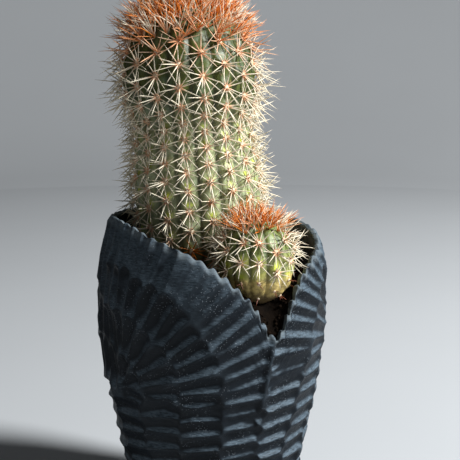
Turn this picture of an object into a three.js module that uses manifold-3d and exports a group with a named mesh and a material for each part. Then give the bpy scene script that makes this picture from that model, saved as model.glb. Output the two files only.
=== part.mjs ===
// A round columnar cactus with one offset, planted in a stoneware pot whose rim dips to a notch.
// Millimetres, +Z up. The origin is the centre of the pot's underside. -Y is the front, +X the right.
// An azimuth is 0 at the front and 90 degrees at the right, seen from above.
import * as THREE from 'three';
import { mergeVertices } from 'three/addons/utils/BufferGeometryUtils.js';
import Module from 'manifold-3d';

// ---------------------------------------------------------------- driving dimensions

const GAP = 0.4; // clearance between two pieces that touch

const POT = {
  height: 171, // up to the highest point of the rim
  baseRadius: 44,
  footChamfer: 2.5,
  bellyHeight: 125,
  mouthDrawIn: 8, // how much narrower the mouth is than the belly
  baseFlare: 1.25, // slope of the wall at the base, where 1 is a straight taper to the belly
  wall: 6,
  floor: 8,
  lipRound: 1.8,
  room: 3.5, // between the planting and the inside of the belly
};

// How far the rim lies below its highest point, as [azimuth in degrees, drop].
const RIM_DROP = [
  [-180, 6], [-90, 1], [-56, 0], [-20, 8.5], [0, 17], [20, 35], [28, 50], [32, 55],
  [36, 53], [42, 40], [50, 27], [65, 19], [90, 13.5], [130, 7.5], [180, 6],
];

const SOIL = {
  freeboard: 36, // from the highest point of the rim down to the soil
  lip: 3, // how far the soil stays below the rim where the rim dips under it
  slope: 8, // how sharply the surface turns down at the wall
};

// The planting is the two stems side by side, in a line through the notch.
const PLANTING = {
  azimuth: 31.5, // from the main stem towards the offset
  towardsNotch: 4.5, // how far the pair is moved along that line from the pot's axis
  aside: 3, // how far the line of the two stems passes to the right of the axis
};

// shape gives [share of the height, share of the radius] below the dome that ends each stem, and
// areoleSpacing [share of the height, millimetres along the rib].
const MAIN = {
  name: 'main',
  radius: 36.5,
  height: 160,
  buried: 12,
  lean: -8, // how far the top stands to the right of the foot
  shape: [
    [0, 0.55], [0.06, 0.84], [0.13, 0.91], [0.28, 0.965],
    [0.44, 0.94], [0.54, 0.885], [0.6, 0.915], [0.73, 1],
  ],
  ribs: 18,
  firstRib: -6.5, // azimuth in degrees
  ribDepth: 3.2,
  firstAreole: 0.8, // of the first rib, in spacings above the soil
  areoleSpacing: [[0, 10.5], [0.36, 10.5], [0.5, 8.7], [0.64, 8.8], [0.76, 12], [1, 13]],
  spineLength: 12,
  crownRadius: 10,
};

const OFFSET = {
  name: 'offset',
  radius: 20,
  height: 43,
  buried: 5,
  lean: 0,
  shape: [[0, 0.35], [0.06, 0.55], [0.17, 0.82], [0.33, 0.96], [0.5, 1]],
  ribs: 13,
  firstRib: 3,
  ribDepth: 2,
  firstAreole: 0,
  areoleSpacing: [[0, 10.5], [1, 10.5]],
  spineLength: 9,
  crownRadius: 6,
};

const AREOLE = {
  radius: 1.5,
  height: 1.3,
  lift: 0.5, // above the crest of the rib
  spines: 6,
  lowTilt: 28, // of every other spine, above the skin, in degrees
  highTilt: 55, // of the spines between them
  stub: 0.8, // of a spine that has no room
  clear: 1.6, // between the end of a spine and the pot
};

const TUFT = {
  spines: 12, // in each ring
  innerRing: 0.5, // as a share of the crown's radius
  lift: 0.7,
  height: 1.6,
  innerTilt: 10, // from upright, in degrees
  outerTilt: 38,
  length: 0.75, // as a share of the stem's spine length
};

const SECTIONS = { pot: 90, potWallRows: 8, soil: 45, stemRows: 15 };

const COLOUR = {
  pot: 0x2c3238,
  soil: 0x3a281c,
  skin: 0x6f8b5c,
  spines: 0xd9c6a4,
  crown: 0xb5622c,
};

// ---------------------------------------------------------------- small helpers

const wasm = await Module();
wasm.setup();

const radians = THREE.MathUtils.degToRad;
const clamp01 = (x) => THREE.MathUtils.clamp(x, 0, 1);

// A smooth curve through [x, y] stations, with the slope at each from its neighbours.
function smoothCurve(stations) {
  const slope = stations.map((_, i) => {
    const [x0, y0] = stations[Math.max(i - 1, 0)];
    const [x1, y1] = stations[Math.min(i + 1, stations.length - 1)];
    return (y1 - y0) / (x1 - x0);
  });
  return (x) => {
    let i = stations.findIndex(([station]) => station > x) - 1;
    if (i < 0) i = stations.length - 2;
    const [x0, y0] = stations[i];
    const [x1, y1] = stations[i + 1];
    const t = (x - x0) / (x1 - x0);
    const ease = t * t * (3 - 2 * t);
    const out = t * (1 - t) * (1 - t) * slope[i] - t * t * (1 - t) * slope[i + 1];
    return y0 + (y1 - y0) * ease + (x1 - x0) * out;
  };
}

// The point at an azimuth, a radius and a height from an upright axis through centre.
function polar(centre, azimuth, radius, z) {
  return new THREE.Vector3(centre.x + radius * Math.sin(azimuth), centre.y - radius * Math.cos(azimuth), z);
}

// A solid of revolution about +Z from a [radius, height] profile that runs up the outside.
function lathe(profile, segments) {
  const points = profile.map(([radius, z]) => new THREE.Vector2(radius, z));
  return new THREE.LatheGeometry(points, segments).rotateX(Math.PI / 2);
}

// Moves each vertex of a lathed solid to the point that place(azimuth, radius, height) gives.
function warp(geometry, place) {
  const position = geometry.getAttribute('position');
  for (let i = 0; i < position.count; i++) {
    const [x, y, z] = [position.getX(i), position.getY(i), position.getZ(i)];
    const moved = place(Math.atan2(x, -y), Math.hypot(x, y), z);
    position.setXYZ(i, moved.x, moved.y, moved.z);
  }
  return geometry;
}

function toManifold(geometry) {
  const bare = new THREE.BufferGeometry().setAttribute('position', geometry.getAttribute('position'));
  bare.setIndex(geometry.index);
  const merged = mergeVertices(bare, 1e-3);
  const vertProperties = new Float32Array(merged.getAttribute('position').array);
  const triVerts = new Uint32Array(merged.index.array);
  return new wasm.Manifold(new wasm.Mesh({ numProp: 3, vertProperties, triVerts }));
}

function toGeometry(manifold) {
  const mesh = manifold.getMesh();
  const geometry = new THREE.BufferGeometry();
  geometry.setAttribute('position', new THREE.BufferAttribute(mesh.vertProperties, 3));
  geometry.setIndex(new THREE.BufferAttribute(mesh.triVerts, 1));
  return geometry;
}

// ---------------------------------------------------------------- the stems' outline

for (const plant of [MAIN, OFFSET]) {
  plant.body = smoothCurve(plant.shape);
  plant.domeFrom = plant.shape.at(-1)[0];
}

// Radius of a stem's crests at a height above its foot.
function stemRadius(plant, height) {
  const share = clamp01(height / plant.height);
  if (share < plant.domeFrom) return plant.radius * plant.body(share);
  const up = (share - plant.domeFrom) / (1 - plant.domeFrom);
  return plant.radius * Math.sqrt(Math.max(1 - up * up, 0));
}

// The widest that a stem is between two heights above its foot.
function widest(plant, low, high) {
  const steps = 24;
  const heights = Array.from({ length: steps + 1 }, (_, i) => low + ((high - low) * i) / steps);
  return Math.max(...heights.map((height) => stemRadius(plant, height)));
}

// ---------------------------------------------------------------- sizes worked out from the planting

// The part of the main stem that the offset leans beside, and the part inside the pot.
const besideOffset = widest(MAIN, MAIN.buried, MAIN.buried + OFFSET.height - OFFSET.buried);
const insidePot = widest(MAIN, 0, MAIN.buried + SOIL.freeboard);
const stemSpacing = besideOffset + OFFSET.radius + GAP;
const plantingRadius = (insidePot + OFFSET.radius + stemSpacing) / 2;

POT.bellyRadius = plantingRadius + POT.room + POT.wall;
const soilLevel = POT.height - SOIL.freeboard;

function outerRadius(z) {
  if (z > POT.bellyHeight) {
    const up = (z - POT.bellyHeight) / (POT.height - POT.bellyHeight);
    return POT.bellyRadius - POT.mouthDrawIn * up * up;
  }
  const t = Math.max(z, 0) / POT.bellyHeight;
  const rise = t * (1 - t) * (1 - t) * POT.baseFlare + t * t * (3 - 2 * t);
  return POT.baseRadius + (POT.bellyRadius - POT.baseRadius) * rise;
}

const innerRadius = (z) => outerRadius(z) - POT.wall;

const rimDrop = smoothCurve(RIM_DROP);
const rimHeight = (azimuth) => POT.height - rimDrop(THREE.MathUtils.radToDeg(azimuth));

// Height of the soil where it meets the wall: level, but always below the rim.
const soilEdge = (azimuth) => Math.min(soilLevel, rimHeight(azimuth) - SOIL.lip);

const soilRadius = (z) => innerRadius(z) - GAP;

function soilHeight(azimuth, radius) {
  const edge = soilEdge(azimuth);
  const out = Math.min(radius / soilRadius(edge), 1);
  return soilLevel + (edge - soilLevel) * out ** SOIL.slope;
}

// Where the stems stand.
const towards = polar({ x: 0, y: 0 }, radians(PLANTING.azimuth), 1, 0);
const sideways = new THREE.Vector3(-towards.y, towards.x, 0);
MAIN.foot = towards.clone().multiplyScalar(insidePot - plantingRadius + PLANTING.towardsNotch);
MAIN.foot.addScaledVector(sideways, PLANTING.aside);
OFFSET.foot = MAIN.foot.clone().addScaledVector(towards, stemSpacing);
for (const plant of [MAIN, OFFSET]) {
  const azimuth = Math.atan2(plant.foot.x, -plant.foot.y);
  plant.foot.z = soilHeight(azimuth, Math.hypot(plant.foot.x, plant.foot.y)) - plant.buried;
}

// Centre of a stem at a world height: it leans over as it rises.
function stemCentre(plant, z) {
  const share = clamp01((z - plant.foot.z) / plant.height);
  const ease = share * share * (3 - 2 * share);
  return { x: plant.foot.x + plant.lean * ease, y: plant.foot.y };
}

// ---------------------------------------------------------------- pot

// The wall is drawn at full height all round, then each azimuth is brought down to its own rim.
function potGeometry() {
  const { height, floor, lipRound, footChamfer, wall } = POT;
  const rows = SECTIONS.potWallRows;
  const wallHeights = (low, high) =>
    Array.from({ length: rows + 1 }, (_, i) => low + ((high - low) * i) / rows);
  const profile = [
    [0, 0],
    [POT.baseRadius - footChamfer / 2, 0],
    ...wallHeights(footChamfer, height - lipRound).map((z) => [outerRadius(z), z]),
    [outerRadius(height) - lipRound, height],
    [outerRadius(height) - wall + lipRound, height],
    ...wallHeights(floor + footChamfer, height - lipRound).reverse().map((z) => [innerRadius(z), z]),
    [innerRadius(floor) - footChamfer, floor],
    [0, floor],
  ];
  return warp(lathe(profile, SECTIONS.pot), (azimuth, radius, z) => {
    if (z <= floor) return polar({ x: 0, y: 0 }, azimuth, radius, z);
    const lowered = floor + ((z - floor) * (rimHeight(azimuth) - floor)) / (height - floor);
    return polar({ x: 0, y: 0 }, azimuth, radius + outerRadius(lowered) - outerRadius(z), lowered);
  });
}

// ---------------------------------------------------------------- soil

function soilGeometry() {
  const bottom = POT.floor + GAP;
  const corner = POT.footChamfer + GAP;
  const wallHeight = soilLevel - bottom - corner;
  const wallHeights = [0, 0.25, 0.5, 0.75, 1].map((share) => bottom + corner + share * wallHeight);
  const surfaceShares = [0.95, 0.88, 0.78, 0.6, 0.3, 0];
  const profile = [
    [0, bottom],
    [soilRadius(bottom) - corner, bottom],
    ...wallHeights.map((z) => [soilRadius(z), z]),
    ...surfaceShares.map((share) => [share * soilRadius(soilLevel), soilLevel]),
  ];
  const filled = warp(lathe(profile, SECTIONS.soil), (azimuth, radius, z) => {
    const edge = soilEdge(azimuth);
    const onSurface = z > soilLevel - GAP && radius < soilRadius(soilLevel) - GAP;
    if (onSurface) {
      const moved = (radius / soilRadius(soilLevel)) * soilRadius(edge);
      return polar({ x: 0, y: 0 }, azimuth, moved, soilHeight(azimuth, moved));
    }
    const lowered = bottom + ((z - bottom) * (edge - bottom)) / (soilLevel - bottom);
    return polar({ x: 0, y: 0 }, azimuth, radius + outerRadius(lowered) - outerRadius(z), lowered);
  });
  let solid = toManifold(filled);
  for (const plant of [MAIN, OFFSET]) solid = solid.subtract(toManifold(stemGeometry(plant, GAP)));
  return toGeometry(solid);
}

// ---------------------------------------------------------------- stems

// Ribs are shallow at the foot and at the crown.
function ribDepth(plant, height) {
  const share = clamp01(height / plant.height);
  const rising = clamp01((height - plant.buried) / plant.buried);
  return plant.ribDepth * rising * Math.sqrt(1 - share * share);
}

function stemGeometry(plant, grow = 0) {
  const rows = SECTIONS.stemRows - 1;
  const heights = Array.from({ length: rows }, (_, i) => plant.height * Math.sin((Math.PI / 2) * (i / rows)));
  const side = heights.map((height) => [stemRadius(plant, height), height]);
  const profile = [[0, 0], ...side, [0, plant.height]];
  return warp(lathe(profile, plant.ribs * 2), (azimuth, radius, height) => {
    const turns = (azimuth / (2 * Math.PI)) * plant.ribs;
    const valley = 2 * Math.abs(turns - Math.round(turns));
    const onAxis = radius < GAP;
    const cut = grow > 0 ? 0 : Math.min(ribDepth(plant, height) * valley, radius / 2);
    const z = plant.foot.z + height + (height === 0 ? -grow : 0);
    const turned = azimuth + radians(plant.firstRib);
    return polar(stemCentre(plant, z), turned, onAxis ? 0 : radius - cut + grow, z);
  });
}

// ---------------------------------------------------------------- spines

// Heights above the foot of one rib's areoles, spaced along the skin. Neighbouring ribs are staggered.
function areoleHeights(plant, rib) {
  const step = 0.25;
  const found = [];
  const spacing = smoothCurve(plant.areoleSpacing);
  let travelled = -((plant.firstAreole + (rib % 2) / 2) % 1);
  for (let height = plant.buried; height < plant.height; height += step) {
    const onDome = height > plant.height * plant.domeFrom;
    if (onDome && stemRadius(plant, height) < plant.crownRadius + AREOLE.radius * 2) break;
    const sideStep = stemRadius(plant, height + step) - stemRadius(plant, height);
    travelled += Math.hypot(step, sideStep) / spacing(height / plant.height);
    if (travelled < 0) continue;
    found.push(height);
    travelled -= 1;
  }
  return found;
}

// The crown keeps a cone to itself, so that the ribs' spines and its own never meet.
function crownBoundary(plant, z) {
  const top = plant.foot.z + plant.height;
  return plant.crownRadius + AREOLE.radius + Math.max(z - top + plant.crownRadius / 2, 0);
}

const offsetTop = OFFSET.foot.z + OFFSET.height + OFFSET.spineLength * TUFT.length + TUFT.height;

// True where a spine of this stem may end: clear of the pot, the soil and the other stem.
function hasRoom(plant, point) {
  const azimuth = Math.atan2(point.x, -point.y);
  const out = Math.hypot(point.x, point.y);
  if (point.z < soilLevel + 2 * GAP) return false;
  const inMouth = point.z < rimHeight(azimuth) + AREOLE.clear;
  if (inMouth && out > innerRadius(point.z) - AREOLE.clear) return false;
  if (point.z > offsetTop + GAP) return true;
  const along = point.clone().sub(MAIN.foot).dot(towards);
  return plant === MAIN ? along < besideOffset - GAP : along > besideOffset + 2 * GAP;
}

// True where the point is in this rib's own sector and outside the crown's cone.
function inSector(plant, ribAzimuth, point) {
  const centre = stemCentre(plant, point.z);
  const azimuth = Math.atan2(point.x - centre.x, centre.y - point.y);
  const out = Math.hypot(point.x - centre.x, point.y - centre.y);
  const turn = Math.abs(Math.atan2(Math.sin(azimuth - ribAzimuth), Math.cos(azimuth - ribAzimuth)));
  return out * Math.sin(Math.PI / plant.ribs - turn) > GAP && out > crownBoundary(plant, point.z) + GAP;
}

// How far a spine reaches, up to length, with the test passed all along it.
function reach(from, direction, length, test) {
  let reached = AREOLE.stub;
  while (reached < length && test(from.clone().addScaledVector(direction, reached + AREOLE.stub))) {
    reached += AREOLE.stub;
  }
  return Math.min(reached, length);
}

// A closed geometry from triangles of points.
function fromTriangles(triangles) {
  const points = triangles.flat();
  const geometry = new THREE.BufferGeometry().setFromPoints(points);
  geometry.setIndex(points.map((_, i) => i));
  return geometry;
}

// The three faces of a spine that stands on the triangle a, b, c.
const spineFaces = (a, b, c, tip) => [[a, b, tip], [b, c, tip], [c, a, tip]];

// The skin's own directions where an areole sits: out of the skin, down the rib and across it.
function areoleFrame(plant, ribAzimuth, height) {
  const step = 0.5;
  const rise = stemRadius(plant, height + step) - stemRadius(plant, height - step);
  const outwards = polar({ x: 0, y: 0 }, ribAzimuth, 1, 0);
  const down = outwards.clone().multiplyScalar(-rise).add(new THREE.Vector3(0, 0, -2 * step)).normalize();
  const across = new THREE.Vector3(0, 0, 1).cross(outwards).normalize();
  const normal = down.clone().cross(across).normalize();
  const z = plant.foot.z + height;
  const seat = polar(stemCentre(plant, z), ribAzimuth, stemRadius(plant, height), z);
  return { normal, down, across, seat: seat.addScaledVector(normal, AREOLE.lift) };
}

// An areole: a low pad with a spine on each upper face. The lowest spine ends in the areole below it.
function areoleGeometry(plant, frame, below, test) {
  const { normal, down, across, seat } = frame;
  const direction = (turn) =>
    down.clone().multiplyScalar(Math.cos(turn)).addScaledVector(across, Math.sin(turn));
  const top = seat.clone().addScaledVector(normal, AREOLE.height);
  const pitch = (2 * Math.PI) / AREOLE.spines;
  const rimCentre = seat.clone().addScaledVector(normal, AREOLE.height / 3);
  const edge = Array.from({ length: AREOLE.spines }, (_, i) =>
    rimCentre.clone().addScaledVector(direction((i - 0.5) * pitch), AREOLE.radius));
  const triangles = edge.flatMap((corner, i) => {
    const next = edge[(i + 1) % AREOLE.spines];
    const root = corner.clone().add(next).add(top).divideScalar(3);
    const tilt = radians(i % 2 ? AREOLE.highTilt : AREOLE.lowTilt);
    const way = direction(i * pitch).multiplyScalar(Math.cos(tilt)).addScaledVector(normal, Math.sin(tilt));
    const length = reach(root, way, plant.spineLength, test);
    const tip = i === 0 && below ? below : root.clone().addScaledVector(way, length);
    return [...spineFaces(corner, next, top, tip), [next, corner, seat]];
  });
  return fromTriangles(triangles);
}

// One rib's areoles from the crown down, joined by their lowest spines, as far as the rib has room.
function spineRow(plant, rib) {
  const ribAzimuth = radians(plant.firstRib) + (rib * 2 * Math.PI) / plant.ribs;
  const test = (point) => hasRoom(plant, point) && inSector(plant, ribAzimuth, point);
  const frames = areoleHeights(plant, rib).reverse().map((height) => areoleFrame(plant, ribAzimuth, height));
  const blocked = frames.findIndex(
    ({ seat, normal }) => !hasRoom(plant, seat.clone().addScaledVector(normal, AREOLE.height + AREOLE.stub)));
  const kept = blocked < 0 ? frames : frames.slice(0, blocked);
  const solids = kept.map((frame, i) => {
    const next = kept[i + 1];
    const below = next && next.seat.clone().addScaledVector(next.normal, AREOLE.height / 2);
    return toManifold(areoleGeometry(plant, frame, below, test));
  });
  return toGeometry(solids.reduce((joined, solid) => joined.add(solid)));
}

// The young spines that stand close together at the growing point: a low cap, a spine on every face.
function crownTuft(plant) {
  const base = plant.foot.z + plant.height;
  const centre = stemCentre(plant, base);
  const capHeight = (radius) => {
    const domeHeight = plant.height * (1 - plant.domeFrom);
    return base - domeHeight * (1 - Math.sqrt(1 - (radius / plant.radius) ** 2)) + TUFT.lift;
  };
  const pitch = (2 * Math.PI) / TUFT.spines;
  const ring = (radius, rise, twist) =>
    Array.from({ length: TUFT.spines }, (_, i) =>
      polar(centre, (i + twist) * pitch, radius, capHeight(radius) + rise));
  const outer = ring(plant.crownRadius, 0, 0);
  const inner = ring(plant.crownRadius * TUFT.innerRing, TUFT.height / 2, 0.5);
  const top = new THREE.Vector3(centre.x, centre.y, base + TUFT.lift + TUFT.height);
  const underside = new THREE.Vector3(centre.x, centre.y, base + TUFT.lift);
  const test = (point) =>
    Math.hypot(point.x - centre.x, point.y - centre.y) < crownBoundary(plant, point.z) - GAP;

  const spine = (a, b, c) => {
    const root = a.clone().add(b).add(c).divideScalar(3);
    const out = Math.hypot(root.x - centre.x, root.y - centre.y) / plant.crownRadius;
    const tilt = radians(THREE.MathUtils.lerp(TUFT.innerTilt, TUFT.outerTilt, out));
    const azimuth = Math.atan2(root.x - centre.x, centre.y - root.y);
    const way = polar({ x: 0, y: 0 }, azimuth, Math.sin(tilt), Math.cos(tilt));
    const length = reach(root, way, plant.spineLength * TUFT.length, test);
    return spineFaces(a, b, c, root.clone().addScaledVector(way, length));
  };
  const triangles = outer.flatMap((corner, i) => {
    const next = (i + 1) % TUFT.spines;
    return [
      ...spine(corner, outer[next], inner[i]),
      ...spine(outer[next], inner[next], inner[i]),
      ...spine(inner[i], inner[next], top),
      [outer[next], corner, underside],
    ];
  });
  return fromTriangles(triangles);
}

// ---------------------------------------------------------------- assembly

function piece(name, geometry, color, roughness) {
  const mesh = new THREE.Mesh(geometry, new THREE.MeshStandardMaterial({ color, roughness, metalness: 0 }));
  mesh.name = name;
  return mesh;
}

const two = (n) => String(n).padStart(2, '0');

const cactus = new THREE.Group();
cactus.add(piece('pot', potGeometry(), COLOUR.pot, 0.55));
cactus.add(piece('soil', soilGeometry(), COLOUR.soil, 0.95));
for (const plant of [MAIN, OFFSET]) {
  cactus.add(piece(`${plant.name}_stem`, stemGeometry(plant), COLOUR.skin, 0.6));
  cactus.add(piece(`${plant.name}_crown_spines`, crownTuft(plant), COLOUR.crown, 0.5));
  for (let rib = 0; rib < plant.ribs; rib++) {
    cactus.add(piece(`${plant.name}_spines_rib_${two(rib + 1)}`, spineRow(plant, rib), COLOUR.spines, 0.5));
  }
}

export default cactus;
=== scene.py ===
"""A spiny potted cactus with one offset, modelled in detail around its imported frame.

Lengths are metres, +Z up. The origin is the centre of the pot's underside, -Y is the front and +X the right.
An azimuth is 0 at the front and grows towards the right.
"""

import math
import random

import bmesh
import bpy
import numpy as np
from bpy.props import FloatProperty, FloatVectorProperty, IntProperty, PointerProperty
from mathutils import Matrix, Vector, noise


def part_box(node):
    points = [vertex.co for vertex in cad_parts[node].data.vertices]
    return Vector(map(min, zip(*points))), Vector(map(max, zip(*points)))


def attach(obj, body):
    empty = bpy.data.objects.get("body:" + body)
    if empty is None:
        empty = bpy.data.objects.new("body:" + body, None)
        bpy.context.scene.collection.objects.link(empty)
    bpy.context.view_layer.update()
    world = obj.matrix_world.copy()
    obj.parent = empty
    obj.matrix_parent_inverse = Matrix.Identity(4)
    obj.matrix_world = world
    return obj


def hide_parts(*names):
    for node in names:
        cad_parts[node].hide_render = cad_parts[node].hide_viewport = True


bl_info = {
    "name": "Potted Cactus",
    "version": (1, 0, 0),
    "blender": (4, 5, 0),
    "location": "View3D > Sidebar > Cactus",
    "description": "Models a ribbed, spiny cactus and its offset in a carved stoneware pot",
    "category": "Add Mesh",
}

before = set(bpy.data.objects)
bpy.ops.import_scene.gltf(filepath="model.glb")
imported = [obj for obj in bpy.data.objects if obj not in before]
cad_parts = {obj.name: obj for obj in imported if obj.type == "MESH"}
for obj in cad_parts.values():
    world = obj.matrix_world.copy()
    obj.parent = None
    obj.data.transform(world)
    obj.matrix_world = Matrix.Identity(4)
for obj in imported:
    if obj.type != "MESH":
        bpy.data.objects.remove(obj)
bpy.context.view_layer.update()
MM = 0.001

# How far the rim lies below its highest point: (azimuth in degrees, drop in millimetres).
RIM_DROP = (
    (-180, 6), (-90, 1), (-56, 0), (-20, 8.5), (0, 17), (20, 35), (28, 50), (32, 55),
    (36, 53), (42, 40), (50, 27), (65, 19), (90, 13.5), (130, 7.5), (180, 6),
)

# ---------------------------------------------------------------- settings


def length(name, description, default, **limits):
    """A length property in metres, from millimetres."""
    return FloatProperty(name=name, description=description, default=default * MM, unit="LENGTH", **limits)


def amount(name, description, default, **limits):
    """A plain number property."""
    return FloatProperty(name=name, description=description, default=default, **limits)


def whole(name, description, default, least=0):
    """A whole number property."""
    return IntProperty(name=name, description=description, default=default, min=least)


def colour(name, description, default):
    """A linear colour property."""
    return FloatVectorProperty(
        name=name, description=description, default=default, subtype="COLOR", size=3, min=0, max=1)


class CactusPotSettings(bpy.types.PropertyGroup):
    """Sizes and colours of the stoneware pot."""

    height: length("Height", "Height of the highest point of the rim", 171)
    base_radius: length("Base radius", "Radius at the underside", 44)
    belly_radius: length("Belly radius", "Largest radius", 64.9)
    belly_height: length("Belly height", "Height of the largest radius", 125)
    mouth_draw_in: length("Mouth draw-in", "How much narrower the mouth is than the belly", 8)
    base_flare: amount("Base flare", "Slope of the wall at the base, 1 for a straight taper", 1.25)
    wall: length("Wall", "Thickness of the wall", 6)
    floor: length("Floor", "Thickness of the floor", 8)
    gouge_depth: length("Gouge depth", "How deep the carving gouge cuts", 4.2)
    gouge_pitch: length("Gouge pitch", "Distance between neighbouring cuts", 9)
    clay: colour("Clay", "Dark slip under the ridges", (0.004, 0.006, 0.0085))
    # The sheen colour is painted light: a painted highlight on the upward-facing ledges of the carving, and
    # painted light on its ridges.
    painted_sheen: colour("Sheen", "Lighter film on the ledges of the carving", (0.115, 0.155, 0.19))
    dust: colour("Dust", "Dry edge of the rim", (0.13, 0.155, 0.17))


class CactusSoilSettings(bpy.types.PropertyGroup):
    """Sizes and colours of the potting mix."""

    freeboard: length("Freeboard", "From the top of the rim down to the soil", 36)
    lip: length("Lip", "How far the soil stays below the rim where the rim dips", 3)
    slope: amount("Slope", "How sharply the soil turns down at the wall", 8)
    chips: whole("Chips", "Number of bark chips", 700)
    crumbs: whole("Crumbs", "Number of earth crumbs", 2600)
    grit: whole("Grit", "Number of pale grit grains", 240)
    earth: colour("Earth", "Dark potting mix", (0.004, 0.0022, 0.0011))
    bark: colour("Bark", "Bark chips", (0.024, 0.009, 0.003))
    pumice: colour("Pumice", "Pale grit", (0.2, 0.18, 0.15))


def stem_properties(ribs, first_rib, rib_depth, first_areole, spine, crown, bare, young, old, foot):
    """The settings that both stems have, with each stem's own defaults."""
    return {
        "ribs": whole("Ribs", "Number of ribs", ribs, 5),
        "first_rib": amount("First rib", "Azimuth of the first rib", math.radians(first_rib), subtype="ANGLE"),
        "rib_depth": length("Rib depth", "From the crest of a rib to the valley", rib_depth),
        "first_areole": amount("First areole", "Lowest areole of the first rib, in spacings", first_areole),
        "spine_length": length("Spine length", "Length of an ordinary spine", spine),
        "crown_radius": length("Crown radius", "Radius of the growing point", crown),
        "bare": amount(
            "Bare foot", "Share of the stem, from its foot, that is corky and spineless", bare,
            min=0, max=1, subtype="FACTOR"),
        "young": colour("Young skin", "Skin near the top", young),
        "old": colour("Old skin", "Skin low down", old),
        "foot": colour("Foot", "Corky skin at the soil", foot),
    }


class CactusMainSettings(bpy.types.PropertyGroup):
    """Sizes and colours of the main stem."""

    __annotations__ = stem_properties(
        18, -6.5, 4.6, 0.8, 15, 30, 0.08, (0.042, 0.053, 0.005), (0.3, 0.33, 0.17), (0.24, 0.17, 0.06))


class CactusOffsetSettings(bpy.types.PropertyGroup):
    """Sizes and colours of the offset."""

    __annotations__ = stem_properties(
        13, 3, 2.6, 0.0, 12, 13, 0.36, (0.1, 0.125, 0.028), (0.27, 0.27, 0.065), (0.7, 0.52, 0.17))


class CactusSpineSettings(bpy.types.PropertyGroup):
    """Sizes and colours of the spines."""

    thickness: length("Thickness", "Radius of a spine at its root", 0.38)
    radials: whole("Radials", "Spines that lie low around an areole", 10, 3)
    centrals: whole("Centrals", "Spines that stand out of an areole", 3)
    ivory: colour("Ivory", "Grown spines", (0.96, 0.87, 0.67))
    rust: colour("Rust", "Young spines and roots of spines", (0.72, 0.2, 0.014))
    dead: colour("Dead", "Tips and old spines", (0.2, 0.055, 0.025))
    wool: colour("Wool", "Felt of an areole", (0.55, 0.33, 0.17))


class CactusStageSettings(bpy.types.PropertyGroup):
    """Floor, camera and lights."""

    floor: colour("Floor", "Plain pale floor", (0.5, 0.51, 0.52))
    key: amount("Key light", "Power of the main light", 72, min=0, unit="POWER")
    fill: amount("Fill light", "Power of the two soft lights", 0.45, min=0, unit="POWER")


SETTINGS = {
    "cactus_pot": CactusPotSettings,
    "cactus_soil": CactusSoilSettings,
    "cactus_main": CactusMainSettings,
    "cactus_offset": CactusOffsetSettings,
    "cactus_spines": CactusSpineSettings,
    "cactus_stage": CactusStageSettings,
}

# ---------------------------------------------------------------- curves and meshes


def hermite(x, xs, ys):
    """A smooth curve through stations, with each slope from the neighbours."""
    xs = np.asarray(xs, float)
    ys = np.asarray(ys, float)
    before = np.r_[xs[0], xs[:-1]], np.r_[ys[0], ys[:-1]]
    after = np.r_[xs[1:], xs[-1]], np.r_[ys[1:], ys[-1]]
    slopes = (after[1] - before[1]) / (after[0] - before[0])
    i = np.clip(np.searchsorted(xs, x, side="right") - 1, 0, len(xs) - 2)
    span = xs[i + 1] - xs[i]
    t = (x - xs[i]) / span
    ease = t * t * (3 - 2 * t)
    bend = t * (1 - t) ** 2 * slopes[i] - t * t * (1 - t) * slopes[i + 1]
    return ys[i] + (ys[i + 1] - ys[i]) * ease + span * bend


def smoothstep(low, high, x):
    t = np.clip((x - low) / (high - low), 0, 1)
    return t * t * (3 - 2 * t)


def lathe(profile, segments):
    """A bmesh turned about +Z from (radius, height) points."""
    bm = bmesh.new()
    verts = [bm.verts.new((0, -radius, height)) for radius, height in profile]
    edges = [bm.edges.new(pair) for pair in zip(verts, verts[1:])]
    bmesh.ops.spin(
        bm, geom=verts + edges, cent=(0, 0, 0), axis=(0, 0, 1), angle=math.tau, steps=segments, use_merge=True)
    bmesh.ops.remove_doubles(bm, verts=bm.verts, dist=1e-6)
    bmesh.ops.recalc_face_normals(bm, faces=bm.faces)
    return bm


def mesh_of(name, bm):
    """A mesh with the bmesh's shape. The bmesh is used up."""
    mesh = bpy.data.meshes.new(name)
    bm.to_mesh(mesh)
    bm.free()
    return mesh


def make_object(name, bm, *materials):
    """A smooth object with the bmesh's shape, in the scene."""
    mesh = mesh_of(name, bm)
    for material in materials:
        mesh.materials.append(material)
    mesh.shade_smooth()
    piece = bpy.data.objects.new(name, mesh)
    bpy.context.scene.collection.objects.link(piece)
    return piece


def make_piece(name, bm, slot, nodes, *materials):
    """A piece of the cactus that rides on the frame and stands for its nodes."""
    piece = make_object(name, bm, *materials)
    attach(piece, "root")
    if nodes:
        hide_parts(*nodes)
    return piece


def get_points(mesh):
    points = np.empty(len(mesh.vertices) * 3, np.float32)
    mesh.vertices.foreach_get("co", points)
    return points.reshape(-1, 3).astype(float)


def set_points(mesh, points):
    mesh.vertices.foreach_set("co", np.ascontiguousarray(points, np.float32).ravel())
    mesh.update()


def set_masks(mesh, name, *masks):
    """Stores up to three masks on the mesh's points, for its material to read."""
    values = np.ones((len(mesh.vertices), 4), np.float32)
    for channel, mask in enumerate(masks):
        values[:, channel] = mask
    mesh.attributes.new(name, "FLOAT_COLOR", "POINT").data.foreach_set("color", values.ravel())


def azimuths(points):
    return np.arctan2(points[:, 0], -points[:, 1])


def on_axis(azimuth, radius, height, centre=(0, 0)):
    """Points at azimuths, radii and heights about an upright axis."""
    return np.stack(
        [centre[0] + radius * np.sin(azimuth), centre[1] - radius * np.cos(azimuth), height + 0 * radius],
        axis=1)


# ---------------------------------------------------------------- materials


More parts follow.
